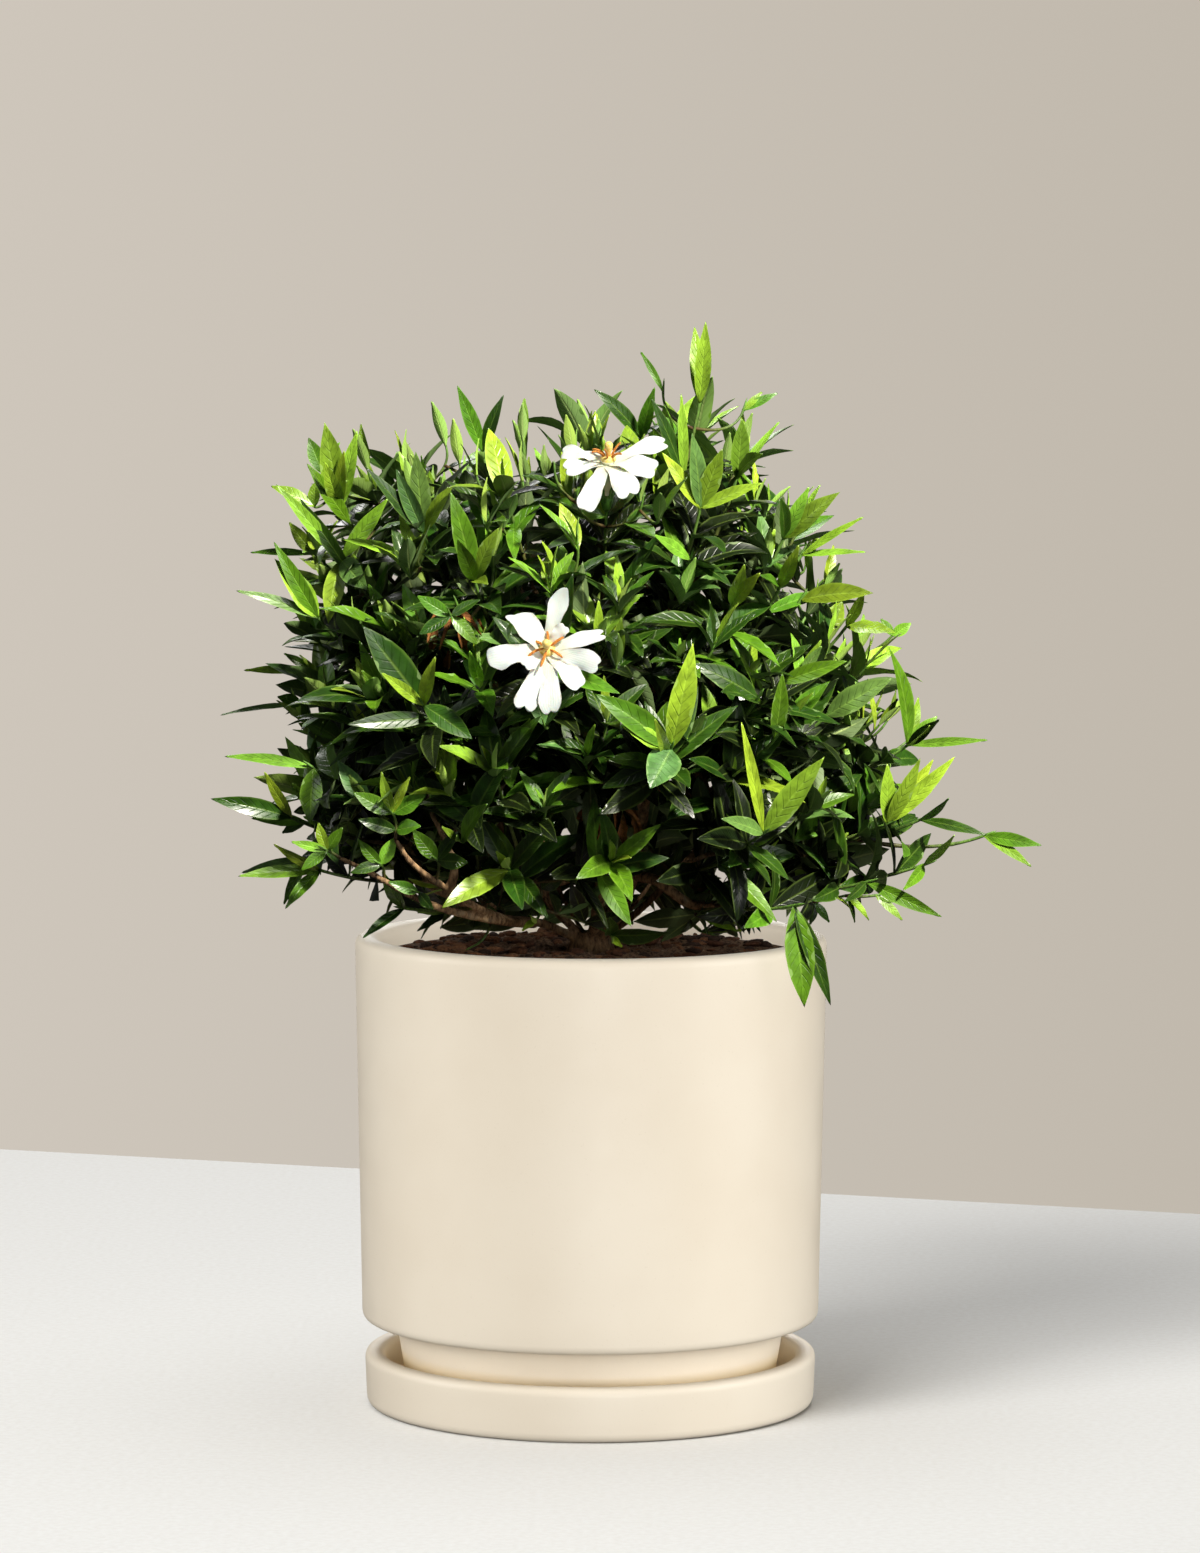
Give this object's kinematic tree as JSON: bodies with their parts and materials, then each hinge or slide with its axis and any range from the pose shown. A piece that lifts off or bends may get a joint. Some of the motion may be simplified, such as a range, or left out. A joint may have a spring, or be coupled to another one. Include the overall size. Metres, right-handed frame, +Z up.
{
  "type": "potted gardenia",
  "caption": "Dwarf narrow-leaved gardenia bush with open white flowers, in a plain cylindrical cream ceramic pot that stands on its matching round saucer.",
  "frame": {"origin": "centre of the saucer's flat underside, on the surface that the saucer stands on", "axes": "+Z up along the axis of the pot and the saucer; the flowers face -Y, which is the front; +X is to the right as seen from the front"},
  "size_m": [0.3451, 0.2778, 0.4588],
  "materials": {
    "ceramic": "matte",
    "potting_mix": "matte",
    "bark": "matte",
    "foliage": "satin",
    "petals": "matte",
    "flower_heart": "matte",
    "withered_leaf": "matte"
  },
  "bodies": {
    "root": {"front_bloom_heart": "flower_heart", "front_bloom_petals": "petals", "pot": "ceramic", "saucer": "ceramic", "soil": "potting_mix", "spray_front_01": "foliage", "spray_front_02": "foliage", "spray_front_03": "foliage", "spray_front_04": "foliage", "spray_front_05": "foliage", "spray_front_06": "foliage", "spray_front_07": "foliage", "spray_front_08": "foliage", "spray_front_09": "foliage", "spray_front_10": "foliage", "spray_front_11": "foliage", "spray_front_12": "foliage", "spray_front_13": "foliage", "spray_front_14": "foliage", "spray_front_15": "foliage", "spray_front_16": "foliage", "spray_front_17": "foliage", "spray_front_18": "foliage", "spray_front_19": "foliage", "spray_front_20": "foliage", "spray_front_21": "foliage", "spray_front_22": "foliage", "spray_front_23": "foliage", "spray_front_24": "foliage", "spray_front_25": "foliage", "spray_front_26": "foliage", "spray_front_27": "foliage", "spray_front_28": "foliage", "spray_front_bloom": "foliage", "spray_round_01": "foliage", "spray_round_02": "foliage", "spray_round_03": "foliage", "spray_round_04": "foliage", "spray_round_05": "foliage", "spray_round_06": "foliage", "spray_round_07": "foliage", "spray_round_08": "foliage", "spray_round_09": "foliage", "spray_round_10": "foliage", "spray_round_11": "foliage", "spray_round_12": "foliage", "spray_round_13": "foliage", "spray_round_14": "foliage", "spray_round_15": "foliage", "spray_round_16": "foliage", "spray_top_bloom": "foliage", "top_bloom_heart": "flower_heart", "top_bloom_petals": "petals", "withered_leaves_01": "withered_leaf", "withered_leaves_02": "withered_leaf", "woody_stems": "bark"}
  },
  "joints": []
}
